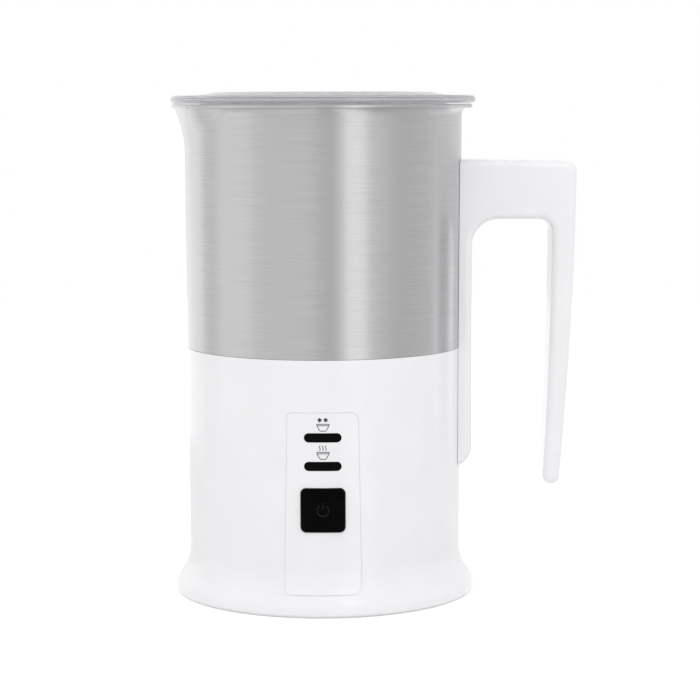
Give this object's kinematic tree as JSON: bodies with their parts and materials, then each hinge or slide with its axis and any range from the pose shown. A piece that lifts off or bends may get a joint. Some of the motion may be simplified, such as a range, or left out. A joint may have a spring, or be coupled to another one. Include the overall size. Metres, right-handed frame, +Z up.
{
  "type": "milk frother",
  "caption": "Round milk frother jug with a steel and white plastic wall, a pouring spout, a clear lid, a hook handle, a push button and a whisk on a motor spindle.",
  "frame": {"origin": "on the jug's axis in the plane that its feet stand on, at the mouth of the power socket", "axes": "+Z up along the jug's axis, +X towards the handle, -X towards the spout, -Y towards the control panel"},
  "size_m": [0.1536, 0.1158, 0.1908],
  "materials": {
    "clear_plastic": "clear, glossy",
    "silicone": "matt",
    "brushed_steel": "brushed round the jug",
    "non_stick": "dark non-stick coating",
    "white_plastic": "glossy white",
    "black_gloss": "glossy black",
    "circuit_board": "green solder mask",
    "black_plastic": "moulded",
    "lamp_resin": "clear resin",
    "zinc_steel": "plated",
    "magnet": "sintered",
    "brass": "machined",
    "aluminium": "plain",
    "green_plastic": "moulded",
    "fuse_body": "ceramic"
  },
  "bodies": {
    "jug": {"pot_gasket": "silicone", "shaft_seal": "silicone", "base_feet": "silicone", "jug_sleeve": "brushed_steel", "inner_pot": "non_stick", "lower_housing": "white_plastic", "handle": "white_plastic", "control_panel": "white_plastic", "base_cover": "white_plastic", "lamp_lenses": "black_gloss", "control_board": "circuit_board", "power_board": "circuit_board", "tact_switch": "black_plastic", "power_socket": "black_plastic", "relay": "black_plastic", "capacitor": "black_plastic", "motor_mount": "black_plastic", "thermostat": "black_plastic", "temperature_probe": "black_plastic", "motor_endcap": "black_plastic", "lamp_leds": "lamp_resin", "base_screws": "zinc_steel", "board_screws": "zinc_steel", "motor_screws": "zinc_steel", "mount_screws": "zinc_steel", "handle_screws": "zinc_steel", "motor_can": "zinc_steel", "bush_nut": "zinc_steel", "heating_element": "zinc_steel", "motor_magnets": "magnet", "socket_contacts": "brass", "shaft_bush": "brass", "heat_spreader": "aluminium", "terminal_block": "green_plastic", "thermal_fuse": "fuse_body"},
    "lid": {"lid": "clear_plastic", "lid_seal": "silicone"},
    "drive": {"motor_rotor": "zinc_steel", "drive_coupling": "black_plastic", "drive_spindle": "zinc_steel"},
    "whisk": {"whisk_hub": "black_plastic", "whisk_coil": "zinc_steel"},
    "button": {"power_button": "black_gloss", "tact_plunger": "black_plastic"}
  },
  "joints": [
    {"name": "lid_lift", "type": "slide", "parent": "jug", "child": "lid", "axis": [0, 0, 1], "range_m": [0, 0.06]},
    {"name": "drive_spin", "type": "hinge", "parent": "jug", "child": "drive", "pos_m": [0, 0, 0.08], "axis": [0, 0, 1], "continuous": true},
    {"name": "whisk_pull", "type": "slide", "parent": "drive", "child": "whisk", "axis": [0, 0, 1], "range_m": [0, 0.045]},
    {"name": "button_press", "type": "slide", "parent": "jug", "child": "button", "axis": [0, 1, 0], "range_m": [0, 0.0005], "stiffness_N_per_m": 2000, "springref_m": -0.0005}
  ]
}
